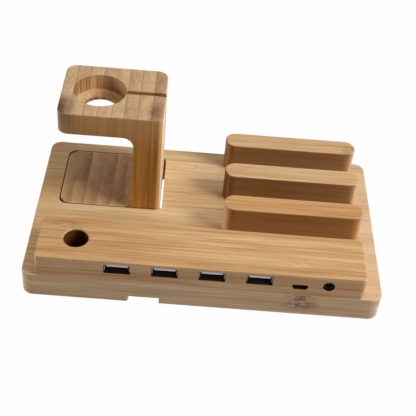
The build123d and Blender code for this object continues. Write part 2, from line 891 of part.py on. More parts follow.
def power_inductor():
    """The square inductor of the power input."""
    x = (port_x[usb_count - 1] + micro_x) / 2
    half = inductor_side / 2
    return rounded_block((x - half, rear_line_y - half, circuit_top),
                         (x + half, rear_line_y + half, circuit_top + inductor_height),
                         inductor_corner_radius)


def power_regulator():
    """The regulator behind the power inlet."""
    return part_on_board(inlet_x, rear_line_y, regulator_length, regulator_width, regulator_height)


def port_fuses():
    """One resettable fuse behind each USB-A port."""
    group = Part()
    for index in range(usb_count):
        group += part_on_board(port_x[index], rear_line_y, fuse_length, fuse_width, fuse_height)
    return group


def small_parts():
    """Small resistors and capacitors between the ports."""
    group = Part()
    for index in range(usb_count - 1):
        for side in (-1, 1):
            group += part_on_board(between_ports(index) + side * small_part_length,
                                   rear_line_y - small_part_from_rear_line,
                                   small_part_width, small_part_length, small_part_height)
    return group


def all_nodes():
    """Every piece, under the name of its node."""
    nodes = {"base_board": base_board(), "watch_stand": watch_stand()}
    for index, name in zip(range(divider_count), ("rear", "middle", "front")):
        nodes["divider_" + name] = divider(index)
        nodes["divider_" + name + "_dowels"] = divider_dowels(index)
    for name, (x, y) in foot_places().items():
        nodes["foot_" + name] = rubber_foot(x, y)
    nodes["hub_cover"] = hub_cover()
    nodes["cover_screws"] = cover_screws()
    nodes["circuit_board"] = circuit_board()
    nodes["circuit_board_screws"] = circuit_board_screws()
    for index in range(usb_count):
        name = "usb_port_" + str(index + 1)
        nodes[name + "_shell"] = usb_shell(index)
        nodes[name + "_tongue"] = usb_tongue(index)
        nodes[name + "_contacts"] = usb_contacts(index)
    nodes["micro_usb_shell"] = micro_shell()
    nodes["micro_usb_tongue"] = micro_tongue()
    nodes["micro_usb_contacts"] = micro_contacts()
    nodes["power_inlet_body"] = inlet_body()
    nodes["power_inlet_pin"] = inlet_pin()
    nodes["power_inlet_spring"] = inlet_spring()
    nodes["hub_chip"] = hub_chip()
    nodes["crystal"] = crystal()
    nodes["filter_capacitors"] = filter_capacitors()
    nodes["power_inductor"] = power_inductor()
    nodes["power_regulator"] = power_regulator()
    nodes["port_fuses"] = port_fuses()
    nodes["small_board_parts"] = small_parts()
    return nodes


os.makedirs("parts", exist_ok=True)
for node, solid in all_nodes().items():
    solid.label = node
    export_step(solid, "parts/" + node + ".step")
    print(node, len(solid.solids()), round(solid.volume, 1))
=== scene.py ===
import json
import math

import bpy
from mathutils import Matrix, Vector


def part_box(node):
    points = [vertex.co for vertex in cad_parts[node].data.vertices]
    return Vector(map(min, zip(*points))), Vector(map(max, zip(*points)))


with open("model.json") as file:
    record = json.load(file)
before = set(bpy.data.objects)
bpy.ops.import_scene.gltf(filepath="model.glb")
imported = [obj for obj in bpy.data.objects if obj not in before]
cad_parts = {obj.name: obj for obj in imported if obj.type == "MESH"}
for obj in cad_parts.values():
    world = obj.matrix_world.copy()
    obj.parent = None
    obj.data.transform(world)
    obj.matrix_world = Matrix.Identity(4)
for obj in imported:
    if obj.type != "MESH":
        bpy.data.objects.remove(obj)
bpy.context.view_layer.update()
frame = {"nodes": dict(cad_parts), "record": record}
nodes = frame["nodes"]
MM = 0.001


# Places on the part that the finishes follow, in millimetres

def box(name):
    """The lowest and the highest corner of a CAD node."""
    low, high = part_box(name)
    return low / MM, high / MM


def mount(name):
    """The record's entry for one of the part's mounts."""
    return next(entry for entry in frame["record"]["mounts"] if entry["name"] == name)


def middle(name):
    """The place of one of the part's mounts."""
    return Vector(mount(name)["pos_m"]) / MM


def radius(name):
    """The radius of one of the part's bores."""
    return mount(name)["dims"]["r_mm"]


BOARD_LOW, BOARD_HIGH = box("base_board")
BOARD_TOP = box("divider_front")[0].z
STAND_LOW, STAND_HIGH = box("watch_stand")
PEN_HOLE = middle("pen_hole")
PEN_HOLE_RADIUS = radius("pen_hole")
RECESS = middle("watch_charger_recess")
RECESS_RADIUS = radius("watch_charger_recess")
PORT_MIDDLE = middle("usb_a_port_1").z


# Shader maths

class Wire:
    """A shader socket that can stand in sums, products and other expressions."""

    def __init__(self, tree, socket):
        self.tree = tree
        self.socket = socket

    def maths(self, operation, *others):
        values = dict(enumerate((self,) + others))
        return self.tree.node("ShaderNodeMath", {"operation": operation}, values)

    def __add__(self, other):
        return self.maths("ADD", other)

    def __radd__(self, other):
        return self.maths("ADD", other)

    def __sub__(self, other):
        return self.maths("SUBTRACT", other)

    def __rsub__(self, other):
        return self.tree.node("ShaderNodeMath", {"operation": "SUBTRACT"}, {0: other, 1: self})

    def __mul__(self, other):
        return self.maths("MULTIPLY", other)

    def __rmul__(self, other):
        return self.maths("MULTIPLY", other)

    def __truediv__(self, other):
        return self.maths("DIVIDE", other)

    def __abs__(self):
        return self.maths("ABSOLUTE")

    def floor(self):
        return self.maths("FLOOR")

    def fraction(self):
        return self.maths("FRACT")

    def at_least(self, other):
        return self.maths("MAXIMUM", other)

    def at_most(self, other):
        return self.maths("MINIMUM", other)

    def clamped(self):
        return self.at_least(0.0).at_most(1.0)

    def rises(self, start, end):
        """A smooth step from 0 at start to 1 at end."""
        return self.tree.node("ShaderNodeMapRange", {"interpolation_type": "SMOOTHSTEP"},
                              {"Value": self, "From Min": start, "From Max": end})

    def near(self, centre, reach):
        """1 where this is centre, falling smoothly to 0 at reach away from it."""
        return 1 - abs(self - centre).rises(0.0, reach)

    def within(self, low, high, blend):
        """1 from low to high, falling smoothly to 0 over the blend outside them."""
        return self.rises(low - blend, low) * (1 - self.rises(high, high + blend))


class Nodes:
    """The nodes of a material or of the world."""

    def __init__(self, tree):
        self.tree = tree
        tree.nodes.clear()

    def node(self, kind, settings=None, inputs=None, output=0):
        """Add a node: its settings first, then the values or links of its sockets."""
        made = self.tree.nodes.new(kind)
        for name, value in (settings or {}).items():
            if name == "stops":
                self.set_stops(made.color_ramp, *value)
            else:
                setattr(made, name, value)
        for name, value in (inputs or {}).items():
            self.feed(made.inputs[name], value)
        return Wire(self, made.outputs[output])

    def feed(self, socket, value):
        if isinstance(value, Wire):
            self.tree.links.new(value.socket, socket)
        else:
            socket.default_value = value

    def set_stops(self, ramp, interpolation, stops):
        """Put levels from 0 to 1 at places from 0 to 1 along a ramp."""
        ramp.interpolation = interpolation
        while len(ramp.elements) < len(stops):
            ramp.elements.new(1.0)
        for element, (place, level) in zip(ramp.elements, stops):
            element.position = place
            element.color = (level, level, level, 1.0)

    def ray(self, kind):
        """1 for a ray of this kind, 0 for any other."""
        return self.node("ShaderNodeLightPath", output=kind)

    def finish_with(self, shader, end="ShaderNodeOutputMaterial"):
        self.tree.links.new(shader.socket, self.tree.nodes.new(end).inputs["Surface"])


class Finish(Nodes):
    """A material, built from nodes. Its places x, y and z are in millimetres."""

    def __init__(self, name):
        self.material = bpy.data.materials.new(name)
        self.material.use_nodes = True
        super().__init__(self.material.node_tree)
        in_metres = self.node("ShaderNodeTexCoord", output="Object")
        self.place = self.node("ShaderNodeVectorMath", {"operation": "SCALE"},
                               {0: in_metres, "Scale": 1 / MM})
        self.x, self.y, self.z = self.parts(self.place)
        self.facing = self.parts(self.node("ShaderNodeTexCoord", output="Normal"))

    def parts(self, vector):
        """The three numbers of a vector."""
        split = self.node("ShaderNodeSeparateXYZ", inputs={0: vector}).socket.node
        return [Wire(self, socket) for socket in split.outputs]

    def point(self, x, y, z):
        return self.node("ShaderNodeCombineXYZ", inputs={0: x, 1: y, 2: z})

    def length(self, x, y, z=0.0):
        """How long the arrow with these parts is."""
        return self.node("ShaderNodeVectorMath", {"operation": "LENGTH"}, {0: self.point(x, y, z)},
                         output="Value")

    def from_axis(self, place):
        """The distance from an upright line through a place."""
        return self.length(self.x - place.x, self.y - place.y)

    def noise(self, place, scale=1.0, detail=2.0, roughness=0.5):
        """Soft noise, as a number around 0."""
        made = self.node("ShaderNodeTexNoise", inputs={
            "Vector": place, "Scale": scale, "Detail": detail, "Roughness": roughness})
        return made - 0.5

    def chance(self, x, y, seed):
        """A random number from 0 to 1 for each pair of whole numbers."""
        return self.node("ShaderNodeTexWhiteNoise", {"noise_dimensions": "3D"},
                         {"Vector": self.point(x, y, seed)})

    def cells(self, place, randomness):
        """The distance to the middle of the nearest cell."""
        return self.node("ShaderNodeTexVoronoi", {"feature": "F1"},
                         {"Vector": place, "Scale": 1.0, "Randomness": randomness}, output="Distance")

    def mixed(self, share, first, second):
        """First colour where the share is 0 or less, second where it is 1 or more."""
        made = self.node("ShaderNodeMix", {"data_type": "RGBA"}, {"Factor": share}, output=2)
        inputs = made.socket.node.inputs
        self.feed(inputs[6], first)
        self.feed(inputs[7], second)
        return made

    def brightened(self, shade, value):
        """A colour, made lighter or darker by a factor."""
        return self.node("ShaderNodeHueSaturation", inputs={"Color": shade, "Value": value})

    def surface(self, constants, bump, bump_depth, **linked):
        """The Principled shader. Constants are set on its sockets; the rest vary over the surface."""
        inputs = {name.replace("_", " "): value for name, value in linked.items()}
        inputs.update(constants)
        inputs["Normal"] = self.node("ShaderNodeBump", inputs={
            "Strength": 1.0, "Distance": bump_depth * MM, "Height": bump})
        self.finish_with(self.node("ShaderNodeBsdfPrincipled", inputs=inputs))
        return self.material


def colour(red, green, blue):
    """A colour as seen on a screen, from 0 to 255, as the linear values that Blender works in."""
    def linear(value):
        value = value / 255
        return value / 12.92 if value <= 0.04045 else ((value + 0.055) / 1.055) ** 2.4
    return (linear(red), linear(green), linear(blue), 1.0)


# Bamboo

# Thickness and length of the streaks in the wood
BROAD_STREAK = (5.0, 130.0)
LONG_STREAK = (1.3, 55.0)
FINE_STREAK = (0.6, 30.0)
SHORT_DASH = (0.45, 7.0)
GOLDEN_STREAK = (1.2, 44.0)
END_STREAK = (1.6, 30.0)
RECESS_STREAK = (1.5, 60.0)

# Widths of the joints between strips and between rows
STRIP_JOINT = 0.25
ROW_JOINT = 0.2

# A petal in a node of the cane: its length, width and height
PETAL = (2.4, 1.5, 1.4)

# Over this length the cut fibres on an end move to other places
FIBRE_DRIFT = 40.0

KNOT_BROWN = colour(112, 76, 48)


class Bamboo(Finish):
    """Laminated bamboo. Fibres run along one axis; strips lie side by side across it."""

    def __init__(self, name, along, across, up):
        super().__init__(name)
        axes = {"x": self.x, "y": self.y, "z": self.z}
        self.along, self.across, self.up = axes[along], axes[across], axes[up]
        self.end_facing = abs(self.facing["xyz".index(along)]).rises(0.6, 0.95)
        self.bend = 0.0
        self.pale = 0.0
        self.brown = 0.0

    def strips(self, size, shifts):
        """Equal strips. Each row of them starts at a place of its own."""
        width, height = size
        across_shift, up_shift = shifts
        layer = self.up / height + up_shift
        row = layer.floor()
        lane = self.across / width + across_shift + self.chance(0.5, row, 3.5) * 0.6
        self.start = self.chance(lane.floor(), row, 11.5)
        self.tone = self.chance(lane.floor(), row, 1.5) - 0.5
        in_strip = lane.fraction()
        joint = in_strip.near(0.0, STRIP_JOINT / width).at_least(in_strip.near(1.0, STRIP_JOINT / width))
        self.joint = joint.at_least(layer.fraction().near(0.0, ROW_JOINT / height))

    def node_mark(self, place, reach, bend=2.6, wedge=0.0, petals=0.0, brown=0.3):
        """A node of the cane: fibres swirl round it, with a pale wedge or petals, and brown clouds."""
        steps = [(axis - centre) / size for axis, centre, size in
                 zip((self.along, self.across, self.up), place, reach)]
        away = self.length(*steps)
        inside = 1 - away.rises(0.25, 1.0)
        swirl = self.noise(self.point(self.along * 0.16, self.across * 0.22, self.up * 0.22), detail=1.0)
        self.bend = self.bend + inside * swirl * (bend * 2)
        arrow = (steps[1] + steps[2] + abs(steps[0]) * 1.4 + swirl).near(0.1, 0.3)
        length, width, height = PETAL
        petal = self.cells(self.point(self.along / length, self.across / width, self.up / height), 0.8)
        petal = (1 - petal.rises(0.3, 0.5)) * (1 - away.rises(0.3, 0.65)) * petals
        self.pale = self.pale + inside * arrow * wedge + petal
        cloud = self.noise(self.point(self.along * 0.24, self.across * 0.5, self.up * 0.5))
        cloud = cloud.rises(-0.14, 0.16) * 0.8 + 0.3
        self.brown = self.brown + inside * cloud * brown - petal * 0.3

    def fibre(self, thickness, length, detail=2.0):
        """Streaks along the fibres, of about the given thickness and length."""
        place = self.point(self.along / length + self.start * 17.0,
                           (self.across + self.bend + self.start * 31.0) / thickness,
                           (self.up + self.bend * 0.7 + self.start * 23.0) / thickness)
        return self.noise(place, detail=detail, roughness=0.55)

    def wood(self, tones, band, streak_share=1.0):
        """The colour of the wood from three tones, deep, pale and gold, with its joints and nodes."""
        deep, pale, gold = tones
        streak = self.fibre(*LONG_STREAK)
        fine = self.fibre(*FINE_STREAK)
        self.relief = fine + streak * 0.5
        dash = self.fibre(*SHORT_DASH, detail=1.0).rises(0.12, 0.3)
        streaks = streak * 1.1 + fine * 1.3 - dash * 0.16
        light = 0.5 + self.fibre(*BROAD_STREAK) * 1.3 + streaks * streak_share
        light = light + self.tone * 0.2 + band - self.joint * 0.22 + self.pale
        golden = self.fibre(*GOLDEN_STREAK, detail=1.0).rises(0.04, 0.3)
        shade = self.mixed(light, deep, pale)
        shade = self.mixed(golden * (0.5 * streak_share), shade, gold)
        return self.mixed(self.brown, shade, KNOT_BROWN)

    def lacquered(self, shade, roughness=0.4):
        """Clear satin lacquer over the wood."""
        return self.surface({"Specular IOR Level": 0.4}, self.relief, 0.03,
                            Base_Color=shade, Roughness=roughness + self.relief * 0.1)

    def speckle(self, size, amount):
        """Cut fibre bundles on an end: small dots, up to the amount in a dot."""
        dots = self.cells(self.point(self.across / size, self.up / size, self.along / FIBRE_DRIFT), 0.85)
        return (1 - dots.rises(0.15, 0.4)) * amount


# The board

# Deep, pale and gold tones of the lower layers and of the block's upper layer
BOARD_TONES = (colour(186, 139, 90), colour(240, 208, 161), colour(212, 161, 94))
BLOCK_TONES = (colour(178, 120, 60), colour(232, 190, 136), colour(206, 144, 66))
# Painted sheen on the board's right strip beyond the block
RIGHT_STRIP_PAINTED_SHEEN = colour(226, 196, 166)
# Painted shade on the board's front faces
FRONT_PAINTED_SHADE = colour(122, 68, 66)
END_BROWN = colour(128, 88, 52)
# Painted shade on the back part of the board's left strip, beside the stand
LEFT_STRIP_PAINTED_SHADE = colour(196, 144, 86)
# Painted shade on the sides of the port cut-outs
PORT_PAINTED_SHADE = colour(44, 26, 14)
# Painted shade down the pen hole
PEN_HOLE_PAINTED_SHADE = colour(100, 58, 30)

# Nodes of the cane: two on the block's top, two on the front face and one on the board's top, where
# the photograph has them, and one on the back
BOARD_MARKS = (
    {"place": (50.5, -46.8, 30.0), "reach": (10.5, 3.6, 2.0), "wedge": 1.1, "brown": 0.12},
    {"place": (-74.0, -31.0, 30.0), "reach": (16.0, 5.0, 3.0), "bend": 2.4, "wedge": 0.2},
    {"place": (52.0, -56.0, 14.2), "reach": (10.0, 6.0, 3.4), "petals": 0.8, "brown": 0.95},
    {"place": (52.4, -56.0, 8.8), "reach": (12.0, 6.0, 5.0), "bend": 2.4, "petals": 0.9, "brown": 1.1},
    {"place": (-4.6, 40.7, 15.8), "reach": (9.0, 3.2, 2.0), "bend": 2.0, "wedge": 0.4, "brown": 0.12},
    {"place": (-58.0, 56.0, 9.0), "reach": (9.0, 6.0, 4.5), "petals": 0.8, "brown": 0.6},
)

# Width and height of the board's strips, and shares by which they are moved, so that a joint
# between rows lies at the board's top
BOARD_STRIP = (10.4, 7.6)
BOARD_STRIP_SHIFTS = (0.3, 0.842)

# Lanes along the board: middle and reach across it, and how much lighter it is there
BOARD_LANES = (
    (-51.0, 4.0, -0.1), (-38.0, 5.0, -0.1), (-19.0, 7.0, 0.2), (-2.0, 9.0, 0.16),
    (10.0, 3.5, -0.12), (19.0, 7.0, -0.2), (37.0, 7.0, 0.14), (46.0, 9.0, 0.1),
)


def board_bamboo():
    """The board and its raised block, with painted shade on its front, its left strip, the sides of the
    port cut-outs and in the pen hole, and painted sheen on its right strip.
    """
    wood = Bamboo("board_bamboo", "x", "y", "z")
    wood.strips(BOARD_STRIP, BOARD_STRIP_SHIFTS)
    for mark in BOARD_MARKS:
        wood.node_mark(**mark)
    in_block = wood.z.rises(BOARD_TOP - 0.1, BOARD_TOP + 0.3)
    band = sum(wood.y.near(centre, reach) * lift for centre, reach, lift in BOARD_LANES)
    shade = wood.mixed(in_block, wood.wood(BOARD_TONES, band + 0.15),
                       wood.wood(BLOCK_TONES, band + 0.06, streak_share=1.1))
    # Painted sheen on the right strip beyond the block
    right_strip = wood.x.rises(BOARD_HIGH.x - 11.0, BOARD_HIGH.x - 7.0)
    shade = wood.mixed(right_strip * 0.35, shade, RIGHT_STRIP_PAINTED_SHEEN)
    # Painted shade on the faces turned to the front
    front = (0 - wood.facing[1]).rises(0.5, 0.9)
    shade = wood.mixed(front * 0.24, shade, FRONT_PAINTED_SHADE)
    shade = wood.mixed(wood.end_facing * wood.speckle(0.7, 0.2), shade, END_BROWN)
    # Painted shade on the back part of the left strip, beside the stand
    left_strip = 1 - wood.x.rises(BOARD_LOW.x + 5.0, BOARD_LOW.x + 23.0)
    behind_block = wood.y.rises(BOARD_LOW.y + 16.0, BOARD_LOW.y + 44.0) * (1 - in_block)
    shade = wood.mixed(left_strip * behind_block * 0.4, shade, LEFT_STRIP_PAINTED_SHADE)
    # Painted shade on the sides of the port cut-outs
    shade = wood.mixed(port_sides(wood), shade, PORT_PAINTED_SHADE)
    # Painted shade down the pen hole, below its rim
    in_pen_hole = 1 - wood.from_axis(PEN_HOLE).rises(PEN_HOLE_RADIUS + 0.25, PEN_HOLE_RADIUS + 0.65)
    in_pen_hole = in_pen_hole * (1 - wood.z.rises(BOARD_HIGH.z - 1.8, BOARD_HIGH.z - 0.2))
    return wood.lacquered(wood.mixed(in_pen_hole, shade, PEN_HOLE_PAINTED_SHADE))


def port_sides(wood):
    """1 on the sides of the port cut-outs in the block's front wall, 0 elsewhere."""
    in_wall = 1 - wood.y.rises(BOARD_LOW.y + 12.0, BOARD_LOW.y + 14.0)
    in_wall = in_wall * wood.x.within(BOARD_LOW.x + 37.0, BOARD_HIGH.x - 15.0, 2.0)
    in_wall = in_wall * wood.z.within(BOARD_TOP + 1.2, BOARD_HIGH.z - 1.4, 0.4)
    return in_wall * (1 - abs(wood.facing[1]).rises(0.2, 0.6))


# The stand

# Joints between its strips, from left to right, and how much lighter each strip is
STAND_JOINTS = (-76.7, -69.4, -61.8, -54.3, -47.7, -40.6, -33.2)
STAND_LIFTS = (-0.2, -0.08, 0.08, 0.12, 0.14, 0.02, 0.14, -0.22)
STRIPS_START = STAND_LOW.x - 1.0
STRIPS_END = STAND_HIGH.x + 0.5
STAND_ROW_JOINT = 20.6

# Heights over which the foot gives way to the post, the post to the arm and its recess, the plain
# arm to its top made paler with painted light, and the recess's ledge to its wall
FOOT_TO_POST = (20.0, 40.0)
POST_TO_ARM = (60.0, 66.0)
POST_TO_RECESS = (60.0, 64.0)
PAINTED_LIGHT_UPWARDS = (56.0, 78.0)
LEDGE_TO_WALL = (70.5, 72.0)

# The brown patches: middle and reach across, then middle and reach towards the back
RIGHT_PATCH = ((-31.2, 5.8), (9.0, 13.0))
LEFT_PATCH = ((-82.5, 12.0), (8.0, 15.0))

# The smudge on the arm's front: middle and reach across, then middle and reach upwards
SMUDGE = ((-79.0, 10.0), (76.0, 12.0))

# Places across, between which the extra light at the left of the top fades out
LIT_LEFT = (-79.0, -67.0)

FOOT_RIM_WIDTH = 1.3

STAND_TONES = (colour(130, 76, 20), colour(200, 142, 66), colour(182, 114, 38))
RECESS_DEEP = colour(128, 80, 30)
RECESS_PALE = colour(232, 182, 112)
RECESS_LIT = colour(236, 194, 136)
# Painted light on the recess's ledge
LEDGE_PAINTED_LIGHT = colour(246, 208, 168)
# Painted light up the arm
ARM_PAINTED_LIGHT = colour(202, 166, 130)
# Painted highlight on the post's front right rounded corner
CORNER_PAINTED_HIGHLIGHT = colour(244, 196, 120)
# Painted light on the stand's right face
RIGHT_FACE_PAINTED_LIGHT = colour(250, 230, 202)
SMUDGE_BROWN = colour(112, 80, 56)
TOP_DEEP = colour(146, 100, 62)
TOP_PALE = colour(234, 194, 148)
PATCH_BROWN = colour(112, 68, 40)
# The foot's tones: darker than the top's, painted shade under the arm
SHADED_FOOT_DEEP = colour(122, 78, 44)
SHADED_FOOT_PALE = colour(222, 176, 126)
# Painted highlight on the foot's rim
FOOT_RIM_PAINTED_HIGHLIGHT = colour(236, 200, 154)


class StandBamboo(Bamboo):
    """The stand: strips on edge with upright fibres, so that its top and foot show cut ends."""

    def __init__(self):
        super().__init__("stand_bamboo", "z", "x", "y")
        self.lay_strips()
        self.growth = (self.in_strip - 0.5) * 0.14
        self.mottle = self.noise(self.point(self.across * 0.3, self.up * 0.16, self.z * 0.02), detail=3.0)
        self.on_foot = 1 - self.z.rises(*FOOT_TO_POST)
        self.on_arm = self.z.rises(*POST_TO_ARM)
        in_bore = 1 - self.from_axis(RECESS).rises(RECESS_RADIUS + 0.35, RECESS_RADIUS + 0.75)
        self.in_recess = in_bore * self.z.rises(*POST_TO_RECESS)

    def lay_strips(self):
        """Strips of unequal widths, in two rows, each with a tone of its own."""
        span = STRIPS_END - STRIPS_START
        edges = (STRIPS_START,) + STAND_JOINTS + (STRIPS_END,)
        shares = [(edge - STRIPS_START) / span for edge in edges]
        levels = [(share, lift + 0.5) for share, lift in zip(shares, STAND_LIFTS)]
        # Stops in one place could change order, so they lie a hair apart
        hair = 0.0001
        fade = []
        for left, right in zip(shares, shares[1:]):
            fade.append((left + hair, 0.0))
            fade.append((right - hair, 1.0))
        place = (self.across - STRIPS_START) / span
        level = self.node("ShaderNodeValToRGB", {"stops": ("CONSTANT", levels)}, {"Fac": place})
        self.lift = level - 0.5
        self.in_strip = self.node("ShaderNodeValToRGB", {"stops": ("LINEAR", fade)}, {"Fac": place})
        number = (level * 40.0).floor()
        row = self.up.rises(STAND_ROW_JOINT - 0.1, STAND_ROW_JOINT + 0.1)
        self.start = self.chance(number, row, 4.5)
        self.tone = (self.chance(number, row, 8.5) - 0.5) * 0.5
        row_joint = self.up.near(STAND_ROW_JOINT, 0.25) * 0.7
        self.joint = self.in_strip.near(0.0, 0.09).at_least(row_joint)

    def sides(self):
        """The upright faces: golden, paler with painted light up the arm, on the recess wall's right part
        and on the right side, a painted highlight on the front right corner, smudged at the front left.
        """
        sides = self.wood(STAND_TONES, self.lift * 0.8 + self.growth, streak_share=0.75)
        wall = self.mixed(self.fibre(*RECESS_STREAK).rises(-0.16, 0.16), RECESS_DEEP, RECESS_PALE)
        sides = self.mixed(self.in_recess * 0.8, sides, wall)
        # Painted light on the right part of the recess wall
        lit_wall = self.in_recess * self.x.rises(RECESS.x - 1.7, RECESS.x + 12.3)
        sides = self.mixed(lit_wall * 0.55, sides, RECESS_LIT)
        # Painted light, paler up the arm
        sides = self.mixed(self.z.rises(*PAINTED_LIGHT_UPWARDS) * 0.3, sides, ARM_PAINTED_LIGHT)
        right = STAND_HIGH.x
        # Painted highlight on the front right rounded corner
        right_corner = self.facing[0].rises(0.1, 0.5) * self.x.rises(right - 4.0, right - 2.0)
        sides = self.mixed(right_corner * 0.4, sides, CORNER_PAINTED_HIGHLIGHT)
        # Painted light on the right face
        right_face = self.facing[0].rises(0.8, 0.98) * self.x.rises(right - 3.0, right - 1.5)
        sides = self.mixed(right_face * 0.78, sides, RIGHT_FACE_PAINTED_LIGHT)
        across, upwards = SMUDGE
        smudge = self.across.near(*across) * self.z.near(*upwards) * (0.9 + self.mottle * 3.0)
        return self.mixed(smudge.clamped() * 0.7, sides, SMUDGE_BROWN)

    def top(self):
        """The cut ends on the top, with brown joints, brown patches at the front corners, painted light at
        the left, and painted light on the recess's ledge.
        """
        light = 0.62 + self.lift * 0.6 + self.growth + self.tone * 0.4 + self.mottle * 0.8
        light = light - self.joint * (0.3 + self.mottle.rises(-0.05, 0.15) * 0.4)
        light = light - self.in_strip.near(0.0, 0.24) * (0.12 + self.mottle * 0.5)
        light = light + (1 - self.across.rises(*LIT_LEFT)) * 0.2
        light = light + self.fibre(*END_STREAK) * 0.5 - self.dots()
        top = self.mixed(light, TOP_DEEP, TOP_PALE)
        pits = self.speckle(1.5, 0.9)
        across, back = RIGHT_PATCH
        right_patch = self.across.near(*across) * self.up.near(*back) * (0.75 + pits * 1.6)
        across, back = LEFT_PATCH
        left_patch = self.across.near(*across) * self.up.near(*back)
        left_patch = left_patch * (1.25 + self.mottle * 2.4 + pits * 0.5)
        top = self.mixed((right_patch + left_patch) * self.on_arm, top, PATCH_BROWN)
        # Painted light on the recess's ledge
        ledge = self.in_recess * (1 - self.z.rises(*LEDGE_TO_WALL))
        return self.mixed(ledge * 0.6, top, LEDGE_PAINTED_LIGHT)

    def foot(self):
        """The cut ends on the foot, made darker than the top with painted shade, with a paler rounded rim
        of painted highlight.
        """
        light = 0.5 + (0.62 - self.in_strip) * 0.34 - self.joint * 0.2 + self.tone * 0.8
        light = light + self.mottle * 0.6 + self.fibre(*END_STREAK) * 0.4 - self.dots() * 0.6
        foot = self.mixed(light, SHADED_FOOT_DEEP, SHADED_FOOT_PALE)
        # Painted highlight on the rim
        rim = self.across.near(STAND_LOW.x, FOOT_RIM_WIDTH)
        rim = rim.at_least(self.up.near(STAND_LOW.y, FOOT_RIM_WIDTH))
        rim = rim.at_least(self.up.near(STAND_HIGH.y, FOOT_RIM_WIDTH))
        return self.mixed(rim * 0.5, foot, FOOT_RIM_PAINTED_HIGHLIGHT)

    def dots(self):
        """Cut fibre bundles, denser at one side of each strip."""
        return self.speckle(0.8, 0.2) * (1.1 - self.in_strip * 0.6)


def stand_bamboo():
    """The whole stand."""
    wood = StandBamboo()
    sides = wood.sides()
    cut_ends = wood.mixed(wood.on_foot, wood.top(), wood.foot())
    return wood.lacquered(wood.mixed(wood.end_facing, sides, cut_ends), roughness=0.42)


# The dividers

DIVIDER_STRIP = (26.0, 21.0)
DIVIDER_MARK_REACH = (7.0, 6.0, 5.0)
DIVIDER_GOLD = colour(204, 144, 78)
# Painted shade on the dividers' broad faces and shadowed left ends
DIVIDER_FACE_PAINTED_SHADE = colour(126, 70, 8)
# Painted light on the front divider's left end
DIVIDER_END_PAINTED_LIGHT = colour(250, 214, 158)
DIVIDER_END_BROWN = colour(140, 98, 60)

# For each divider: its deep and pale tones, where its strips start, how deep the painted shade on its
# broad faces and its left end is, how pale the painted light on that end is, and where it has a brown node
DIVIDERS = {
    "rear": {"deep": colour(182, 132, 80), "pale": colour(232, 190, 142), "shift": 0.1,
             "face_shade_share": 0.72, "end_shadow_share": 0.6, "mark": (82.5, 44.0, 35.0)},
    "middle": {"deep": colour(188, 138, 86), "pale": colour(236, 198, 148), "shift": 0.2,
               "face_shade_share": 0.8, "end_shadow_share": 1.2},
    "front": {"deep": colour(174, 118, 62), "pale": colour(222, 172, 114), "shift": 0.35,
              "face_shade_share": 0.62, "end_shadow_share": 0.0, "end_light_share": 0.3},
}


def divider_bamboo(name, deep, pale, shift, face_shade_share, end_shadow_share, end_light_share=0.0, mark=None):
    """One divider: a few wide strips, with quiet streaks along it, painted shade that makes its broad
    faces and left end deeper and golden, and painted light on that end.
    """
    wood = Bamboo(name, "x", "y", "z")
    wood.strips(DIVIDER_STRIP, (shift, shift))
    if mark:
        wood.node_mark(mark, DIVIDER_MARK_REACH, bend=2.0, brown=0.55)
    shade = wood.wood((deep, pale, DIVIDER_GOLD), 0.16, streak_share=1.15)
    leftward = 0 - wood.facing[0]
    # Painted shade on the broad faces and on the left end
    face = abs(wood.facing[1]).rises(0.6, 0.95).at_least(leftward.rises(0.3, 0.9) * end_shadow_share)
    shade = wood.mixed(face * face_shade_share, shade, DIVIDER_FACE_PAINTED_SHADE)
    # Painted light on the left end
    shade = wood.mixed(leftward.rises(0.2, 0.8) * end_light_share, shade, DIVIDER_END_PAINTED_LIGHT)
    shade = wood.mixed(wood.end_facing * wood.speckle(0.8, 0.2), shade, DIVIDER_END_BROWN)
    return wood.lacquered(shade)


# The dowels

DOWEL_STRIP = (60.0, 60.0)
DOWEL_TONES = (colour(184, 146, 102), colour(228, 200, 158), colour(206, 162, 108))


def dowel_wood():
    """Plain turned dowel wood, with its fibres upright."""
    wood = Bamboo("dowel_wood", "z", "x", "y")
    wood.strips(DOWEL_STRIP, (0.5, 0.5))
    return wood.lacquered(wood.wood(DOWEL_TONES, 0.1), roughness=0.55)


# Plain finishes, each with a little life in it

def plain(name, base, roughness=0.5, metallic=0.0, grain=1.2, vary=0.06, bump_depth=0.02, glow=0.0):
    """A moulded, plated or drawn finish with fine grain and slight tone changes."""
    finish = Finish(name)
    soft = finish.noise(finish.place, scale=0.12, detail=3.0)
    fine = finish.noise(finish.place, scale=grain, detail=3.0, roughness=0.6)
    shade = finish.brightened(colour(*base), 1.0 + soft * (vary * 2) + fine * vary)
    return finish.surface({"Metallic": metallic, "Emission Strength": glow}, fine, bump_depth,
                          Base_Color=shade, Emission_Color=shade, Roughness=roughness + fine * 0.16)


# The plate's own grey, and painted shade inside the ports
PLATE_GREY = colour(146, 144, 146)
PLATE_PAINTED_SHADE = colour(60, 50, 44)


def shell_plate():
    """Nickel plate on the port shells: grey at the lip; further in and on the lower lip, rougher and dark
    with painted shade.
    """
    finish = Finish("nickel_plate")
    fine = finish.noise(finish.place, scale=2.0, detail=3.0, roughness=0.6)
    lower_lip = 1 - finish.z.rises(PORT_MIDDLE - 2.3, PORT_MIDDLE - 1.9)
    depth = finish.y.rises(BOARD_LOW.y + 1.2, BOARD_LOW.y + 2.1).at_least(lower_lip)
    shade = finish.mixed(depth, PLATE_GREY, PLATE_PAINTED_SHADE)
    shade = finish.brightened(shade, 1.0 + fine * 0.2)
    return finish.surface({"Metallic": 1.0}, fine, 0.02,
                          Base_Color=shade, Roughness=0.36 + depth * 0.2 + fine * 0.1)


def paint(material, *names):
    """Give CAD nodes their finish."""
    for name in names:
        shape = nodes[name]
        shape.data.materials.clear()
        shape.data.materials.append(material)


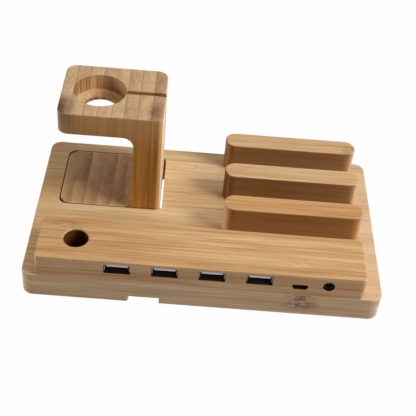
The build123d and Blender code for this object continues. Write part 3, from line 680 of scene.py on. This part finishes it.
CORNERS = ("front_left", "front_right", "rear_left", "rear_right")
PORTS = range(1, 5)

paint(board_bamboo(), "base_board")
paint(stand_bamboo(), "watch_stand")
for place, look in DIVIDERS.items():
    paint(divider_bamboo(place + "_divider_bamboo", **look), "divider_" + place)
paint(dowel_wood(), *("divider_%s_dowels" % place for place in DIVIDERS))
paint(plain("foot_rubber", (38, 38, 38), roughness=0.75, grain=2.5, bump_depth=0.05),
      *("foot_" + corner for corner in CORNERS))
paint(plain("cover_plastic", (34, 34, 35), roughness=0.6, grain=3.0, bump_depth=0.06), "hub_cover")
paint(plain("blackened_steel", (70, 70, 72), roughness=0.38, metallic=1.0),
      "cover_screws", "circuit_board_screws")
paint(shell_plate(), "micro_usb_shell", *("usb_port_%d_shell" % port for port in PORTS))
# Painted light: the pale port tongues glow a little
paint(plain("tongue_painted_glow", (240, 234, 244), roughness=0.42, glow=0.16),
      *("usb_port_%d_tongue" % port for port in PORTS))
paint(plain("contact_gold", (150, 118, 62), roughness=0.35, metallic=1.0),
      "micro_usb_contacts", *("usb_port_%d_contacts" % port for port in PORTS))
paint(plain("black_moulding", (22, 22, 23)), "hub_chip", "power_inductor", "power_regulator")
paint(plain("matt_black_moulding", (15, 11, 8), roughness=0.85), "micro_usb_tongue", "power_inlet_body")
# Painted shade: the power inlet's pin and spring get a dark metal for the shade inside the inlet
paint(plain("pin_painted_shade", (58, 54, 50), roughness=0.4, metallic=1.0),
      "power_inlet_pin", "power_inlet_spring")
paint(plain("drawn_can", (196, 197, 199), roughness=0.3, metallic=1.0), "crystal", "filter_capacitors")
paint(plain("fuse_green", (46, 84, 58)), "port_fuses", "small_board_parts")
paint(plain("green_solder_mask", (22, 92, 52), roughness=0.34, grain=0.8, vary=0.12), "circuit_board")


# Floor and light, in metres and watts

WHITE = (1.0, 1.0, 1.0, 1.0)
FLOOR_SIZE = 6.0
FLOOR_DROP = 0.1 * MM
FLOOR_DARK = colour(178, 178, 178)
FLOOR_LIGHT = colour(184, 184, 184)
FLOOR_WHITE_SHARE = 0.98
FILL_LIGHT = 0.05
GLOSS_LIGHT = 0.35
LAMP_AIM = (0.0, 0.0, 0.02)

# For each lamp: its place, the side of its square and its power
LAMPS = {
    "right_light": ((1.0, -0.34, 0.8), 0.6, 15.0),
    "left_light": ((-1.1, -0.1, 0.27), 0.4, 5.0),
    "top_light": ((0.15, 0.4, 1.25), 1.3, 5.4),
}


def white_floor():
    """A pale floor that reads as a white sweep and still keeps the object's shadow."""
    finish = Finish("pale_floor")
    speckle = finish.noise(finish.place, scale=0.02)
    shade = finish.mixed(speckle + 0.5, FLOOR_DARK, FLOOR_LIGHT)
    lit = finish.node("ShaderNodeBsdfDiffuse", inputs={"Color": shade})
    white = finish.node("ShaderNodeEmission", inputs={"Color": WHITE, "Strength": 1.0})
    seen = finish.ray("Is Camera Ray").at_least(finish.ray("Is Glossy Ray"))
    seen = seen.at_least(finish.ray("Is Transmission Ray"))
    share = seen * FLOOR_WHITE_SHARE
    finish.finish_with(finish.node("ShaderNodeMixShader", inputs={0: share, 1: lit, 2: white}))
    return finish.material


def floor():
    """The floor under the object."""
    bpy.ops.object.select_all(action="DESELECT")
    bpy.ops.mesh.primitive_plane_add(size=FLOOR_SIZE, location=(0, 0, -FLOOR_DROP))
    sheet = bpy.context.object
    sheet.name = "floor"
    sheet.data.materials.append(white_floor())


def studio_air():
    """White behind the object, a dimmer white in its gloss, and a weak even fill on it."""
    world = bpy.data.worlds.new("studio")
    world.use_nodes = True
    bpy.context.scene.world = world
    air = Nodes(world.node_tree)
    white = air.node("ShaderNodeBackground", inputs={"Color": WHITE, "Strength": 1.0})
    dim = air.node("ShaderNodeBackground", inputs={"Color": WHITE, "Strength": FILL_LIGHT})
    seen = air.ray("Is Camera Ray").at_least(air.ray("Is Transmission Ray"))
    seen = seen.at_least(air.ray("Is Glossy Ray") * ((GLOSS_LIGHT - FILL_LIGHT) / (1 - FILL_LIGHT)))
    air.finish_with(air.node("ShaderNodeMixShader", inputs={0: seen, 1: dim, 2: white}),
                    "ShaderNodeOutputWorld")


def lamp(name, place, side, power):
    """A soft square lamp that looks at the object."""
    data = bpy.data.lights.new(name, "AREA")
    data.shape = "SQUARE"
    data.size = side
    data.energy = power
    holder = bpy.data.objects.new(name, data)
    holder.location = place
    direction = Vector(LAMP_AIM) - Vector(place)
    holder.rotation_euler = direction.to_track_quat("-Z", "Y").to_euler()
    bpy.context.scene.collection.objects.link(holder)


# The camera, fitted to straight edges of the board, the block, the dividers and the stand

PHOTO_SIDE = 416                # pixels
FOCAL_LENGTH = 919.336          # pixels
LENS_MIDDLE = (193.4, 200.0)    # pixels from the left and from the top
CAMERA_TURN = 0.8747            # degrees to the right
CAMERA_TILT = 41.9307           # degrees down
CAMERA_ROLL = 4.939             # degrees
CAMERA_AIM = (-7.289, 12.953, 15.2)
CAMERA_DISTANCE = 530.819
SENSOR = 36.0


def photo_camera():
    """The camera, placed as the photograph's was: position, aim, roll and lens."""
    turn, tilt, roll = (math.radians(angle) for angle in (CAMERA_TURN, CAMERA_TILT, CAMERA_ROLL))
    forward = Vector((math.sin(turn) * math.cos(tilt), math.cos(turn) * math.cos(tilt), -math.sin(tilt)))
    right = Vector((math.cos(turn), -math.sin(turn), 0.0))
    up = right.cross(forward)
    rolled_right = right * math.cos(roll) + up * math.sin(roll)
    rolled_up = up * math.cos(roll) - right * math.sin(roll)
    axes = Matrix((rolled_right, rolled_up, -forward)).transposed()
    data = bpy.data.cameras.new("photo_camera")
    data.sensor_width = SENSOR
    data.lens = SENSOR * FOCAL_LENGTH / PHOTO_SIDE
    data.shift_x = (PHOTO_SIDE / 2 - LENS_MIDDLE[0]) / PHOTO_SIDE
    data.shift_y = (LENS_MIDDLE[1] - PHOTO_SIDE / 2) / PHOTO_SIDE
    data.clip_start = 0.01
    holder = bpy.data.objects.new("photo_camera", data)
    place = (Vector(CAMERA_AIM) - forward * CAMERA_DISTANCE) * MM
    holder.matrix_world = Matrix.Translation(place) @ axes.to_4x4()
    bpy.context.scene.collection.objects.link(holder)
    bpy.context.scene.camera = holder


floor()
studio_air()
for name, (place, side, power) in LAMPS.items():
    lamp(name, place, side, power)
photo_camera()
bpy.context.scene.view_settings.view_transform = "Standard"
